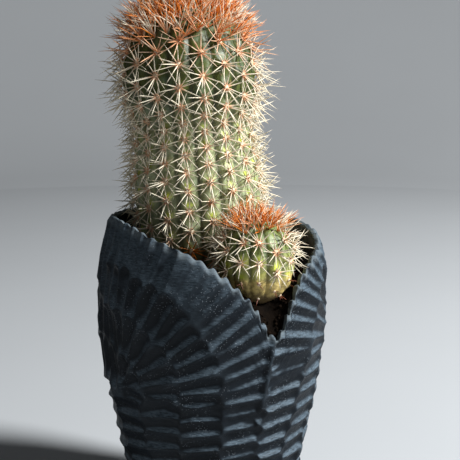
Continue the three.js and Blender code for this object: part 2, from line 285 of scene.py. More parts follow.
class Nodes:
    """A short way to write a shader node tree."""

    def __init__(self, tree):
        self.tree = tree

    def add(self, kind, inputs=None, **settings):
        node = self.tree.nodes.new(kind)
        for key, value in settings.items():
            setattr(node, key, value)
        for key, value in (inputs or {}).items():
            self.put(node.inputs[key], value)
        return node

    def put(self, socket, value):
        if isinstance(value, bpy.types.NodeSocket):
            self.tree.links.new(value, socket)
        elif hasattr(value, "__len__") and len(value) == 3 and socket.type == "RGBA":
            socket.default_value = (*value, 1)
        else:
            socket.default_value = value

    def mix(self, factor, first, second):
        node = self.add("ShaderNodeMix", data_type="RGBA")
        self.put(node.inputs[0], factor)
        self.put(node.inputs[6], first)
        self.put(node.inputs[7], second)
        return node.outputs[2]

    def math(self, operation, first, second):
        return self.add("ShaderNodeMath", {0: first, 1: second}, operation=operation).outputs[0]

    def times(self, first, second):
        return self.math("MULTIPLY", first, second)

    def plus(self, first, second):
        return self.math("ADD", first, second)

    def ramp(self, value, low, high):
        """0 below low, 1 above high, smooth between. With low above high it falls."""
        node = self.add(
            "ShaderNodeMapRange", {"Value": value, "From Min": low, "From Max": high},
            interpolation_type="SMOOTHSTEP")
        return node.outputs["Result"]

    def noise(self, vector, scale, detail=4.0, roughness=0.55):
        return self.add(
            "ShaderNodeTexNoise",
            {"Vector": vector, "Scale": scale, "Detail": detail, "Roughness": roughness}).outputs["Fac"]

    def stretched(self, vector, scale):
        return self.add("ShaderNodeMapping", {"Vector": vector, "Scale": scale}).outputs["Vector"]

    def group(self, group, inputs):
        node = self.add("ShaderNodeGroup", node_tree=group)
        for key, value in inputs.items():
            self.put(node.inputs[key], value)
        return node


def new_material(name):
    """A material with its nodes writer, Principled shader and Object coordinates."""
    material = bpy.data.materials.new(name)
    material.use_nodes = True
    nodes = Nodes(material.node_tree)
    shader = material.node_tree.nodes["Principled BSDF"]
    place = nodes.add("ShaderNodeTexCoord").outputs["Object"]
    return material, nodes, shader, place


def masks_of(nodes, name):
    attribute = nodes.add("ShaderNodeAttribute", attribute_name=name)
    return nodes.add("ShaderNodeSeparateColor", {"Color": attribute.outputs["Color"]}).outputs


def new_group(name, inputs, outputs):
    """A node group with float or colour or vector sockets, and its writer."""
    group = bpy.data.node_groups.new(name, "ShaderNodeTree")
    for direction, sockets in (("INPUT", inputs), ("OUTPUT", outputs)):
        for socket, kind in sockets.items():
            group.interface.new_socket(socket, in_out=direction, socket_type=kind)
    nodes = Nodes(group)
    return group, nodes, nodes.add("NodeGroupInput").outputs, nodes.add("NodeGroupOutput").inputs


FLOAT = "NodeSocketFloat"
COLOUR = "NodeSocketColor"
VECTOR = "NodeSocketVector"


def mottle_group():
    """Two colours mixed in soft patches with a finer grain on top."""
    if "Mottle" in bpy.data.node_groups:
        return bpy.data.node_groups["Mottle"]
    group, nodes, given, out = new_group(
        "Mottle",
        {"Vector": VECTOR, "First": COLOUR, "Second": COLOUR, "Patch Scale": FLOAT, "Grain Scale": FLOAT},
        {"Color": COLOUR})
    patches = nodes.ramp(nodes.noise(given["Vector"], given["Patch Scale"], 3), 0.38, 0.64)
    grain = nodes.noise(given["Vector"], given["Grain Scale"], 5, 0.65)
    mask = nodes.plus(nodes.times(patches, 0.65), nodes.times(grain, 0.35))
    nodes.put(out["Color"], nodes.mix(mask, given["First"], given["Second"]))
    return group


def relief_group():
    """A height of two noises, coarse and fine, for a Bump node."""
    if "Relief" in bpy.data.node_groups:
        return bpy.data.node_groups["Relief"]
    group, nodes, given, out = new_group(
        "Relief",
        {"Vector": VECTOR, "Coarse Scale": FLOAT, "Fine Scale": FLOAT, "Fine Share": FLOAT},
        {"Height": FLOAT})
    coarse = nodes.noise(given["Vector"], given["Coarse Scale"], 4)
    fine = nodes.times(nodes.noise(given["Vector"], given["Fine Scale"], 3), given["Fine Share"])
    nodes.put(out["Height"], nodes.plus(coarse, fine))
    return group


def mottled(nodes, place, first, second, patch, grain):
    """The colour of a Mottle group at a place."""
    return nodes.group(mottle_group(), {
        "Vector": place, "First": first, "Second": second, "Patch Scale": patch, "Grain Scale": grain}
    ).outputs["Color"]


def relief_of(nodes, place, coarse, fine, share):
    """The height of a Relief group at a place."""
    return nodes.group(relief_group(), {
        "Vector": place, "Coarse Scale": coarse, "Fine Scale": fine, "Fine Share": share}).outputs["Height"]


def shade(tone, factor):
    """A colour made darker or lighter."""
    return [min(c * factor, 1) for c in tone]


def dress(nodes, shader, tone, rough, specular=0.5):
    """Sets a material's colour, roughness and how strongly it reflects."""
    nodes.put(shader.inputs["Base Color"], tone)
    nodes.put(shader.inputs["Roughness"], rough)
    shader.inputs["Specular IOR Level"].default_value = specular


def add_bump(nodes, shader, height, strength, distance):
    bump = nodes.add("ShaderNodeBump", {"Strength": strength, "Distance": distance, "Height": height})
    nodes.put(shader.inputs["Normal"], bump.outputs["Normal"])


def stoneware_material(settings):
    """Dark slip over groggy clay: painted light on the ridges and a painted highlight on the upward-facing
    ledges of the carving, glittering grains, a dusty dry rim.
    """
    material, nodes, shader, place = new_material("stoneware")
    hollow, rim, ledge = masks_of(nodes, "carving")[:3]
    slip = mottled(nodes, place, settings.clay, shade(settings.clay, 1.7), 45, 900)
    streaks = nodes.ramp(nodes.noise(nodes.stretched(place, (1, 1, 5)), 330, 4, 0.7), 0.2, 0.75)
    # Painted highlight where the carving faces up, as if lit from above, broken into streaks.
    painted_highlight = nodes.times(nodes.ramp(ledge, 0.48, 0.88), streaks)
    # Painted light on the ridges and shallow cuts; the deep hollows stay darker as painted shade.
    painted_ridge_light = nodes.times(nodes.ramp(hollow, 0.5, 0.1), 0.16)
    tone = nodes.mix(nodes.math("MAXIMUM", painted_highlight, painted_ridge_light), slip, settings.painted_sheen)
    grains = nodes.add("ShaderNodeTexVoronoi", {"Vector": place, "Scale": 1600.0})
    grain_kind = nodes.add("ShaderNodeSeparateColor", {"Color": grains.outputs["Color"]}).outputs[0]
    patch = nodes.ramp(nodes.noise(place, 60, 2), 0.42, 0.62)
    chosen = nodes.math("GREATER_THAN", grain_kind, 0.84)
    speck = nodes.times(nodes.ramp(grains.outputs["Distance"], 0.42, 0.2), chosen)
    speck = nodes.times(speck, patch)
    tone = nodes.mix(nodes.times(speck, 0.6), tone, (0.3, 0.34, 0.38))
    dusty = nodes.times(rim, nodes.ramp(nodes.noise(place, 240, 4), 0.3, 0.6))
    tone = nodes.mix(nodes.times(dusty, 0.85), tone, settings.dust)
    rough = nodes.plus(nodes.times(nodes.noise(place, 300, 3), 0.25), 0.36)
    rough = nodes.plus(rough, nodes.times(dusty, 0.25))
    rough = nodes.math("SUBTRACT", rough, nodes.times(speck, 0.2))
    dress(nodes, shader, tone, rough, 0.14)
    relief = relief_of(nodes, nodes.stretched(place, (1, 1, 3)), 330, 1500, 0.5)
    height = nodes.plus(relief, nodes.times(speck, 0.5))
    add_bump(nodes, shader, height, 0.55, 0.0005)
    return material


def skin_material(name, settings):
    """Waxy skin, young and green above, pale and greyer below, corky at the soil."""
    material, nodes, shader, place = new_material(name)
    valley, age, wool = masks_of(nodes, "growth")[:3]
    cork_from = 1 - settings.bare
    young = mottled(nodes, place, settings.young, shade(settings.young, 1.9), 90, 1400)
    old = mottled(nodes, place, settings.old, shade(settings.old, 1.45), 110, 1300)
    grown = nodes.ramp(age, 0.3, 0.44)
    tone = nodes.mix(grown, young, old)
    bloom = nodes.times(nodes.ramp(nodes.noise(place, 130, 3), 0.46, 0.72), 0.38)
    tone = nodes.mix(bloom, tone, nodes.mix(grown, (0.13, 0.21, 0.14), (0.36, 0.46, 0.37)))
    shadow = nodes.times(nodes.ramp(valley, 0.55, 1.0), 0.6)
    tone = nodes.mix(shadow, tone, (0.014, 0.019, 0.003))
    some = nodes.times(nodes.ramp(nodes.noise(place, 75, 1), 0.4, 0.56), nodes.ramp(age, 0.3, 0.45))
    tone = nodes.mix(nodes.times(wool, some), tone, (0.6, 0.68, 0.035))
    cork_edge = nodes.plus(age, nodes.times(nodes.noise(place, 170, 4), 0.3))
    cork = nodes.ramp(cork_edge, cork_from + 0.08, cork_from + 0.22)
    tone = nodes.mix(cork, tone, mottled(nodes, place, settings.foot, shade(settings.foot, 0.34), 260, 1200))
    stained = nodes.times(nodes.ramp(cork_edge, 0.94, 1.04), 0.85)
    tone = nodes.mix(stained, tone, (0.05, 0.024, 0.008))
    scar = nodes.times(nodes.ramp(nodes.noise(place, 210, 2), 0.7, 0.76), 0.6)
    tone = nodes.mix(scar, tone, (0.38, 0.25, 0.12))
    rough = nodes.plus(nodes.times(nodes.noise(place, 500, 3), 0.2), 0.36)
    dress(nodes, shader, tone, nodes.plus(rough, nodes.times(cork, 0.3)))
    relief = relief_of(nodes, nodes.stretched(place, (1, 1, 0.45)), 420, 2200, 0.35)
    warts = nodes.times(cork, nodes.times(nodes.noise(place, 300, 5, 0.6), 4))
    add_bump(nodes, shader, nodes.plus(relief, warts), 0.45, 0.0006)
    return material


def spine_material(settings):
    """Ivory horn, rusty at the root and when young, brown at the tip."""
    material, nodes, shader, place = new_material("spines")
    along, warmth, chance = masks_of(nodes, "horn")[:3]
    root = nodes.times(nodes.ramp(along, 0.3, 0.0), 0.7)
    tip = nodes.times(nodes.ramp(along, 0.8, 1.0), 0.4)
    ivory = nodes.mix(chance, settings.ivory, shade(settings.ivory, 0.68))
    streak = nodes.noise(nodes.stretched(place, (1, 1, 0.3)), 1800, 3)
    ivory = nodes.mix(nodes.times(streak, 0.16), ivory, settings.wool)
    tone = nodes.mix(nodes.ramp(warmth, 0.2, 1.0), ivory, settings.rust)
    tone = nodes.mix(root, tone, settings.rust)
    tone = nodes.mix(tip, tone, settings.dead)
    tone = nodes.mix(nodes.ramp(warmth, 1.2, 2.0), tone, settings.dead)
    dress(nodes, shader, tone, nodes.plus(nodes.times(streak, 0.3), 0.28), 0.45)
    add_bump(nodes, shader, streak, 0.3, 0.0002)
    return material


def wool_material(settings):
    """Matted felt of the areoles."""
    material, nodes, shader, place = new_material("areole_wool")
    dress(nodes, shader, mottled(nodes, place, settings.wool, settings.ivory, 500, 3000), 0.95)
    add_bump(nodes, shader, nodes.noise(place, 2600, 4, 0.7), 0.8, 0.0004)
    return material


def earth_material(name, tone, scale):
    """Rough mineral or bark, mottled at the size of its grains."""
    material, nodes, shader, place = new_material(name)
    mottle = mottled(nodes, place, shade(tone, 0.45), shade(tone, 1.5), scale, scale * 6)
    dress(nodes, shader, mottle, 0.9, 0.06)
    add_bump(nodes, shader, relief_of(nodes, place, scale * 2, scale * 8, 0.6), 0.8, 0.0008)
    return material


# ---------------------------------------------------------------- pot and soil shapes


def rim_height(azimuth):
    """Height of the rim at azimuths in radians."""
    pot = bpy.context.scene.cactus_pot
    wrapped = (np.degrees(azimuth) + 180) % 360 - 180
    return pot.height - hermite(wrapped, *zip(*RIM_DROP)) * MM


def outer_radius(z):
    """Radius of the uncarved outside of the pot at a height."""
    pot = bpy.context.scene.cactus_pot
    up = np.clip((z - pot.belly_height) / (pot.height - pot.belly_height), 0, None)
    t = np.clip(z / pot.belly_height, 0, 1)
    rise = t * (1 - t) ** 2 * pot.base_flare + t * t * (3 - 2 * t)
    return pot.base_radius + (pot.belly_radius - pot.base_radius) * rise - pot.mouth_draw_in * up * up


def inner_radius(z):
    return outer_radius(z) - bpy.context.scene.cactus_pot.wall


def soil_level():
    scene = bpy.context.scene
    return scene.cactus_pot.height - scene.cactus_soil.freeboard


def soil_edge(azimuth):
    return np.minimum(soil_level(), rim_height(azimuth) - bpy.context.scene.cactus_soil.lip)


def soil_height(azimuth, radius):
    """Height of the soil: level, and turned down at the wall where the rim dips."""
    edge = soil_edge(azimuth)
    out = np.clip(radius / inner_radius(edge), 0, 1)
    return soil_level() + (edge - soil_level()) * out ** bpy.context.scene.cactus_soil.slope


# ---------------------------------------------------------------- the carving of the pot

POT_SEGMENTS = 470
POT_ROWS = 178
RIM_UNEVEN = 17 * MM  # how far down from the rim its unevenness reaches
UNROLL = 62 * MM  # radius at which azimuths are measured as distances round the pot
WRAP = math.pi * UNROLL

# The cuts fan out from two centres, left and right of the notch, in rings of strokes.
LEFT_FAN = {"centre": (-60, 82), "rings": (3, 20, 43, 66, 108), "angles": (-8, 98), "skew": 8, "side": -1}
RIGHT_FAN = {"centre": (117, 99), "rings": (4, 14, 30, 54, 94), "angles": (86, 186), "skew": 0, "side": 1}
FLUTE_ROWS = ((80, 104), (102, 128), (126, 172))  # behind, between the fans
COURSE_COLUMNS = 15
COURSE_FIRST = -18.5  # azimuth of a boundary between two columns, in degrees
COURSE_SLANT = 0.19  # degrees of azimuth for each millimetre of height, at most
NOTCH_RIDGE = 33  # distance round to the upright ridge below the notch
OVERLAP = 1.24  # width of a stroke, in pitches
SMOOTH_PATCH = (-4, 146, 22)  # where the cuts are faint: distance round, height and radius


def stroke(rng, across, height, angle, long, wide, side=0):
    """One cut of the gouge: where it is, which way it runs and how large it is, in millimetres.

    A side of -1 or 1 keeps it left or right of the ridge below the notch.
    """
    x, z, reach = SMOOTH_PATCH
    faint = 0.4 + 0.6 * float(smoothstep(0.6, 1.1, math.hypot(across - x, height - z) / reach))
    return (
        across + rng.uniform(-0.8, 0.8), height + rng.uniform(-0.6, 0.6), angle + rng.uniform(-4, 4),
        long * rng.uniform(0.54, 0.66), wide * OVERLAP * rng.uniform(0.48, 0.54),
        faint * rng.uniform(0.82, 1.0), side)


def fan_strokes(rng, pitch, centre, rings, angles, skew, side):
    found = []
    for inner, outer in zip(rings, rings[1:]):
        middle = (inner + outer) / 2
        step = math.degrees(pitch * 0.93 / middle)
        count = max(2, round((angles[1] - angles[0]) / step))
        for i in range(count + 1):
            angle = angles[0] + (angles[1] - angles[0]) * i / count
            turn = math.radians(angle)
            across = centre[0] + middle * math.cos(turn)
            height = centre[1] + middle * math.sin(turn)
            slanted = angle + skew * middle / rings[-1]
            found.append(stroke(rng, across, height, slanted, outer - inner, pitch, side))
    return found


def flute_strokes(rng, pitch):
    """Upright cuts round the back, from the right fan on to the left one."""
    start = RIGHT_FAN["centre"][0] + pitch
    end = LEFT_FAN["centre"][0] + 2 * math.pi * UNROLL / MM - pitch / 2
    found = []
    for row, (low, high) in enumerate(FLUTE_ROWS):
        count = round((end - start) / (pitch * 0.92))
        for i in range(count + 1):
            across = start + (end - start) * (i + 0.5 * (row % 2)) / count
            lift = 5 * math.sin(0.9 * i + 1.9 * row)
            found.append(stroke(rng, across, (low + high) / 2 + lift, 90, high - low, pitch * 0.94))
    return found


def course_strokes(rng, pitch):
    """Level cuts low down, in columns that are staggered by half a pitch."""
    found = []
    column_degrees = 360 / COURSE_COLUMNS
    for column in range(COURSE_COLUMNS):
        middle = COURSE_FIRST + column_degrees * (column + 0.5)
        slant = COURSE_SLANT * math.sin(math.radians(middle - COURSE_FIRST))
        across = math.radians(middle) * UNROLL / MM
        right = RIGHT_FAN["centre"][0] - 75 < across < RIGHT_FAN["centre"][0] + 20
        top = 97 if right else 76
        height = top - pitch * (0.5 if column % 2 else 0.05)
        while height > 0:
            shift = math.radians(slant * (height - top)) * UNROLL / MM
            wide = math.radians(column_degrees) * UNROLL / MM
            tilt = 5 + 10 * float(smoothstep(60, 80, height)) if not right else 3
            found.append(stroke(rng, across + shift, height, tilt, wide, pitch))
            height -= pitch
    return found


def carving_strokes():
    rng = random.Random(7)
    pitch = bpy.context.scene.cactus_pot.gouge_pitch / MM
    return (
        fan_strokes(rng, pitch, **LEFT_FAN) + fan_strokes(rng, pitch, **RIGHT_FAN)
        + flute_strokes(rng, pitch) + course_strokes(rng, pitch))


def carved_depth(azimuth, height, strokes):
    """Depth of the carving as a share of a full cut, with sharp ridges where cuts meet."""
    depth = np.zeros(len(azimuth))
    ridge = azimuth * UNROLL - NOTCH_RIDGE * MM + (109 * MM - height) * 0.12
    for across, up, angle, half_long, half_wide, full, side in strokes:
        dx = (azimuth * UNROLL - across * MM + WRAP) % (2 * WRAP) - WRAP
        dz = height - up * MM
        reach = (half_long + half_wide) * MM
        near = np.flatnonzero((abs(dx) < reach) & (abs(dz) < reach))
        cos, sin = math.cos(math.radians(angle)), math.sin(math.radians(angle))
        u = (dx[near] * cos + dz[near] * sin) / (half_long * MM)
        v = (dz[near] * cos - dx[near] * sin) / (half_wide * MM)
        ends = np.where(u > 0, 1 - np.abs(u) ** 7, 1 - np.abs(u) ** 2.6)
        scoop = full * (1 - v * v) * np.clip(ends, 0, 1)
        if side:
            scoop = scoop * smoothstep(-0.5 * MM, 2.5 * MM, side * ridge[near])
        depth[near] = np.maximum(depth[near], np.where(np.abs(v) < 1, scoop, 0))
    return depth


def rim_scallops(azimuth):
    """Small bites the gouge takes out of the rim, deepest on the flanks of the notch."""
    turn = np.linspace(-math.pi, math.pi, 1441)
    rim = rim_height(turn)
    along = np.r_[0, np.cumsum(np.hypot(np.diff(turn) * UNROLL, np.diff(rim)))]
    low = smoothstep(9 * MM, 20 * MM, rim.max() - rim)
    bites = (0.5 + 1.8 * low) * MM * np.sin(math.pi * along / (8 * MM)) ** 2
    steep = np.hypot(1, np.gradient(rim, turn * UNROLL))
    return np.interp(azimuth, turn, bites * np.minimum(steep, 1.6))


def pot_profile(pot):
    """(radius, height) points round a section of the pot at its full height."""
    lip = 2.2 * MM
    foot = 2.2 * MM
    outer = [(float(outer_radius(z)), z) for z in np.linspace(foot, pot.height - lip, POT_ROWS)]
    turn = np.linspace(0, math.pi, 9)[1:-1]
    middle = float(outer_radius(pot.height)) - pot.wall / 2
    over = [(middle + pot.wall / 2 * math.cos(a), pot.height - lip + lip * math.sin(a)) for a in turn]
    inner = [(float(inner_radius(z)), z) for z in np.linspace(pot.height - lip, pot.floor + foot, 12)]
    return [
        (0, 0), (pot.base_radius * 0.5, 0), (pot.base_radius - foot, 0),
        (pot.base_radius - 0.3 * foot, 0.3 * foot), *outer, *over, *inner,
        (float(inner_radius(pot.floor)) - foot, pot.floor), (pot.base_radius * 0.4, pot.floor), (0, pot.floor),
    ]


class CACTUS_OT_build_pot(bpy.types.Operator):
    """Turns the pot, lowers its rim to the notch and carves its outside"""

    bl_idname = "cactus.build_pot"
    bl_label = "Build pot"

    def execute(self, context):
        pot = context.scene.cactus_pot
        piece = make_piece(
            "carved_pot", lathe(pot_profile(pot), POT_SEGMENTS), "stoneware", ["pot"], stoneware_material(pot))
        mesh = piece.data
        points = get_points(mesh)
        azimuth = azimuths(points)
        radius = np.hypot(points[:, 0], points[:, 1])
        z = points[:, 2]
        inwards = outer_radius(z) - radius
        strokes = carving_strokes()

        rim = rim_height(azimuth)
        rim_cut = carved_depth(azimuth, rim - 3 * MM, strokes)
        wander = np.array([noise.noise((math.sin(a) * 5, math.cos(a) * 5, 0.3)) for a in azimuth])
        uneven = 0.8 * MM * wander - 1.2 * MM * rim_cut - rim_scallops(azimuth)
        raised = np.clip((z - pot.floor) / (pot.height - pot.floor), 0, None)
        lowered = np.where(z > pot.floor, pot.floor + raised * (rim - pot.floor), z)
        lowered = lowered + uneven * smoothstep(pot.height - RIM_UNEVEN, pot.height - 1 * MM, z)
        outside = np.clip(1 - inwards / (0.62 * pot.wall), 0, 1) * smoothstep(1 * MM, 6 * MM, z)
        cut = carved_depth(azimuth, lowered, strokes) * outside
        wobble = np.array([noise.fractal(Vector(p) * 55, 0.9, 2.0, 3) for p in points])
        moved = outer_radius(lowered) - inwards - pot.gouge_depth * cut
        moved += (0.35 * wobble - 0.3) * MM * outside
        flat = z < pot.floor + 1e-5
        moved = np.where(flat & (inwards > 1 * MM), radius, moved)
        moved[radius < 1e-6] = 0
        set_points(mesh, on_axis(azimuth, moved, np.where(radius < 1e-6, z, lowered)))
        bm = bmesh.new()
        bm.from_mesh(mesh)
        carved = [vert for vert, share in zip(bm.verts, outside) if share > 0.5]
        bmesh.ops.smooth_vert(bm, verts=carved, factor=0.5, use_axis_x=True, use_axis_y=True, use_axis_z=True)
        bm.to_mesh(mesh)
        bm.free()

        at_rim = smoothstep(pot.height - 5.5 * MM, pot.height - 1 * MM, z)
        # How far the carving faces up: the mask of the painted highlight on its upward-facing ledges.
        facing = np.empty(len(z) * 3, np.float32)
        mesh.vertex_normals.foreach_get("vector", facing)
        ledge = np.clip(0.5 + facing.reshape(-1, 3)[:, 2] * outside, 0, 1)
        set_masks(mesh, "carving", cut, at_rim, ledge)
        return {"FINISHED"}


# ---------------------------------------------------------------- soil


def stem_reach(point, margin):
    """True where a point on the soil is inside a stem's foot, with a margin."""
    return any(
        math.hypot(point[0] - stem.foot[0], point[1] - stem.foot[1]) < stem.soil_radius + margin
        for stem in stems().values())


def lump(seed, stretch):
    """A small broken grain of a few faces, about one unit across."""
    rng = random.Random(seed)
    bm = bmesh.new()
    bmesh.ops.create_icosphere(bm, subdivisions=1, radius=0.5)
    for vert in bm.verts:
        vert.co *= rng.uniform(0.7, 1.15)
    bmesh.ops.scale(bm, vec=stretch, verts=bm.verts)
    return mesh_of(f"lump_{seed}", bm)


def scatter(rng, count, sizes, sink, reach):
    """Places for grains on the soil: a turned and scaled matrix for each."""
    found = []
    while len(found) < count:
        azimuth = rng.uniform(-math.pi, math.pi)
        size = rng.uniform(*sizes) * MM
        edge = float(inner_radius(soil_edge(azimuth))) - size * 0.6
        radius = reach * edge * math.sqrt(rng.random())
        x, y = radius * math.sin(azimuth), -radius * math.cos(azimuth)
        if stem_reach((x, y), size * 0.2):
            continue
        z = float(soil_height(azimuth, radius)) - sink * size
        turned = Matrix.Rotation(rng.uniform(0, math.tau), 4, "Z")
        turned @= Matrix.Rotation(rng.uniform(-0.5, 0.5), 4, "X")
        found.append(Matrix.Translation((x, y, z)) @ turned @ Matrix.Scale(size, 4))
    return found


def grains(rng, shapes, places):
    """A bmesh with one of the shapes at each place."""
    bm = bmesh.new()
    for place in places:
        grain = rng.choice(shapes)
        grain.transform(place)
        bm.from_mesh(grain)
        grain.transform(place.inverted())
    return bm


SOIL_SEGMENTS = 150
SOIL_ROWS = 44  # from the wall to the middle of the surface


class CACTUS_OT_build_soil(bpy.types.Operator):
    """Fills the pot with potting mix and strews bark, crumbs and grit on it"""

    bl_idname = "cactus.build_soil"
    bl_label = "Build soil"

    def execute(self, context):
        soil = context.scene.cactus_soil
        pot = context.scene.cactus_pot
        gap = 0.4 * MM
        bottom = pot.floor + gap
        level = soil_level()
        side = [(float(inner_radius(z)) - gap, z) for z in np.linspace(bottom + 3 * MM, level, 12)]
        top = [(side[-1][0] * (1 - i / SOIL_ROWS), level + 1) for i in range(1, SOIL_ROWS + 1)]
        profile = [(0, bottom), (side[0][0] - 3 * MM, bottom), *side, *top]
        piece = make_piece(
            "potting_soil", lathe(profile, SOIL_SEGMENTS), "soil", ["soil"],
            earth_material("earth", soil.earth, 180))
        points = get_points(piece.data)
        azimuth = azimuths(points)
        radius = np.hypot(points[:, 0], points[:, 1])
        z = points[:, 2]
        edge = soil_edge(azimuth)
        surface = z > level + 0.5
        lowered = np.where(surface, 0, bottom + (z - bottom) * (edge - bottom) / (level - bottom))
        share = radius / side[-1][0]
        new_radius = np.where(surface, share * (inner_radius(edge) - gap), inner_radius(lowered) - gap)
        new_radius = np.where(z < bottom + 1 * MM, radius, new_radius)
        clods = np.array([noise.fractal(Vector((p[0], p[1], 0)) * 230, 0.8, 2.0, 4) for p in points])
        height = soil_height(azimuth, new_radius) + 2.0 * MM * clods - 0.8 * MM
        set_points(piece.data, on_axis(azimuth, new_radius, np.where(surface, height, lowered)))

        rng = random.Random(11)
        heaps = (
            ("bark_chips", soil.chips, (2.0, 4.6), 0.05, (1.5, 0.8, 0.35), soil.bark, 400, 0.93),
            ("earth_crumbs", soil.crumbs, (0.9, 2.4), 0.1, (1.1, 1, 0.8), shade(soil.earth, 2.2), 700, 1.0),
            ("pale_grit", soil.grit, (0.9, 2.2), 0.0, (1, 1, 0.8), soil.pumice, 900, 0.97),
        )
        for heap, (name, count, sizes, sink, stretch, tone, scale, reach) in enumerate(heaps):
            shapes = [lump(20 * heap + i, stretch) for i in range(6)]
            bm = grains(rng, shapes, scatter(rng, count, sizes, sink, reach))
            piece = make_piece(name, bm, "soil", [], earth_material(name, tone, scale))
            piece.data.shade_flat()
        return {"FINISHED"}


# ---------------------------------------------------------------- stems


class Stem:
    """A stem's outline, read from the rings of its CAD node, and where its areoles sit."""

    def __init__(self, name, settings, spacing, soil):
        self.name = name
        self.settings = settings
        self.pitch = math.tau / settings.ribs
        points = np.unique(np.round(get_points(bpy.data.objects[f"{name}_stem"].data), 6), axis=0)
        points = points[np.argsort(points[:, 2])]
        rings = np.split(points, np.flatnonzero(np.diff(points[:, 2]) > 0.2 * MM) + 1)
        middles = np.array([ring.mean(axis=0) for ring in rings])
        radii = np.array([np.hypot(*(ring - middle).T[:2]).max() for ring, middle in zip(rings, middles)])
        radii[-1] = 0
        rows = np.c_[middles, radii]
        beyond = rows[-2] * (1, 1, 1, -1)
        index = np.arange(len(rows) + 1)
        fine = np.linspace(0, len(rows) - 1, 60 * len(rows))
        outline = np.stack([hermite(fine, index, np.r_[rows[:, i], beyond[i]]) for i in range(4)], axis=1)
        outline[:, 3] = np.clip(outline[:, 3], 0, None)
        steps = np.hypot(np.diff(outline[:, 2]), np.diff(outline[:, 3]))
        self.outline = outline
        self.arc = np.r_[0, np.cumsum(steps)]
        self.length = self.arc[-1]
        self.foot = outline[0, :3]
        self.height = outline[-1, 2] - outline[0, 2]
        self.soil = self.arc_at(soil)
        self.soil_radius = self.at(self.soil)[3]
        self.spacing = spacing
        self.areoles = [self.rib_areoles(rib) for rib in range(settings.ribs)]

    def at(self, arc):
        """Centre, height and crest radius at distances along the outline."""
        return [np.interp(arc, self.arc, self.outline[:, i]) for i in range(4)]

    def arc_at(self, height):
        return float(np.interp(height, self.outline[:, 2], self.arc))

    def rib_areoles(self, rib):
        """Distances along one rib of its areoles, from the soil up to the crown."""
        step = 0.25 * MM
        travelled = -((self.settings.first_areole + (rib % 2) / 2) % 1)
        found = []
        for arc in np.arange(self.soil, self.length, step):
            _, _, z, radius = self.at(arc)
            if z > self.foot[2] + self.height * 0.6 and radius < self.settings.crown_radius:
                break
            share = (z - self.foot[2]) / self.height
            travelled += step / (float(hermite(share, *zip(*self.spacing))) * MM)
            if travelled >= 0:
                found.append(arc)
                travelled -= 1
        return found

    def rib_azimuth(self, rib):
        return self.settings.first_rib + rib * self.pitch

    def valley(self, azimuth):
        """The nearest rib, and how far a point is from its crest: 0 there, 1 in the valley."""
        turns = (azimuth - self.settings.first_rib) / self.pitch
        rib = np.round(turns)
        return rib.astype(int) % self.settings.ribs, 2 * np.abs(turns - rib)

    def near_areole(self, rib, arc):
        """Signed distance to the nearest areole of a rib as a share of the spacing, up the rib."""
        shares = np.full(len(arc), -9.0)
        for number, places in enumerate(self.areoles):
            here = np.flatnonzero(rib == number)
            if len(places) < 2 or not len(here):
                continue
            places = np.asarray(places)
            gaps = np.diff(places)
            places = np.r_[places[0] - gaps[0], places, places[-1] + gaps[-1]]
            counts = np.interp(arc[here], places, np.arange(len(places)))
            shares[here] = counts - np.round(counts)
        return shares

    def skin(self, azimuth, arc):
        """Surface radius, and masks: valley, age and the woolly spot above each areole."""
        _, _, z, crest = self.at(arc)
        rib, valley = self.valley(azimuth)
        above = (z - self.foot[2]) / self.height
        growing = smoothstep(self.soil * 0.6, self.soil * 1.6, arc) * np.sqrt(np.clip(1 - above ** 6, 0, 1))
        depth = self.settings.rib_depth * growing
        cut = depth * (1 - np.sqrt(np.clip(1 - 0.985 * valley ** 2, 0, 1)))
        share = self.near_areole(rib, arc)
        ridge = np.clip(1 - valley * 1.25, 0, 1)
        chin = depth * 0.34 * ridge * (1 - np.cos(share * math.tau)) / 2
        wool = np.exp(-((share - 0.28) / 0.16) ** 2 - (valley / 0.36) ** 2)
        pinch_height, pinch_depth = PINCH[self.name]
        pinch = pinch_depth * MM * np.exp(-((above - pinch_height) / 0.03) ** 2)
        radius = np.clip(crest - np.minimum(cut + chin, crest * 0.6) - pinch, 0, None)
        return radius, valley, 1 - above, wool

    def seat(self, rib, arc):
        """Where an areole sits: its point, and the directions out of the skin, down and across."""
        azimuth = self.rib_azimuth(rib)
        step = 0.8 * MM
        low, high = self.at(arc - step), self.at(min(arc + step, self.length))
        x, y, z, _ = self.at(arc)
        radius = float(self.skin(np.array([azimuth]), np.array([arc]))[0][0])
        out = Vector((math.sin(azimuth), -math.cos(azimuth), 0))
        down = (out * (low[3] - high[3]) + Vector((0, 0, low[2] - high[2]))).normalized()
        across = Vector((0, 0, 1)).cross(out).normalized()
        return Vector((x, y, z)) + out * radius, down.cross(across).normalized(), down, across


WARMTH = {"main": 0.0, "offset": 0.08}  # how much of the young spines' rust the grown ones keep
# How far apart the areoles of a rib are: (share of the height, millimetres).
SPACING = {
    "main": ((0, 10.5), (0.36, 10.5), (0.5, 8.7), (0.64, 8.8), (0.76, 12), (1, 13)),
    "offset": ((0, 10.5), (1, 10.5)),
}
PINCH = {"main": (0.602, 2.4), "offset": (0.6, 0.0)}  # share of the height, and depth in millimetres
STEMS = {}


def stems():
    """Both stems, read once."""
    if not STEMS:
        scene = bpy.context.scene
        for name, settings in (("main", scene.cactus_main), ("offset", scene.cactus_offset)):
            low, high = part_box(f"{name}_stem")
            azimuth = math.atan2((low[0] + high[0]) / 2, -(low[1] + high[1]) / 2)
            radius = math.hypot((low[0] + high[0]) / 2, (low[1] + high[1]) / 2)
            soil = float(soil_height(azimuth, radius))
            STEMS[name] = Stem(name, settings, SPACING[name], soil)
    return STEMS


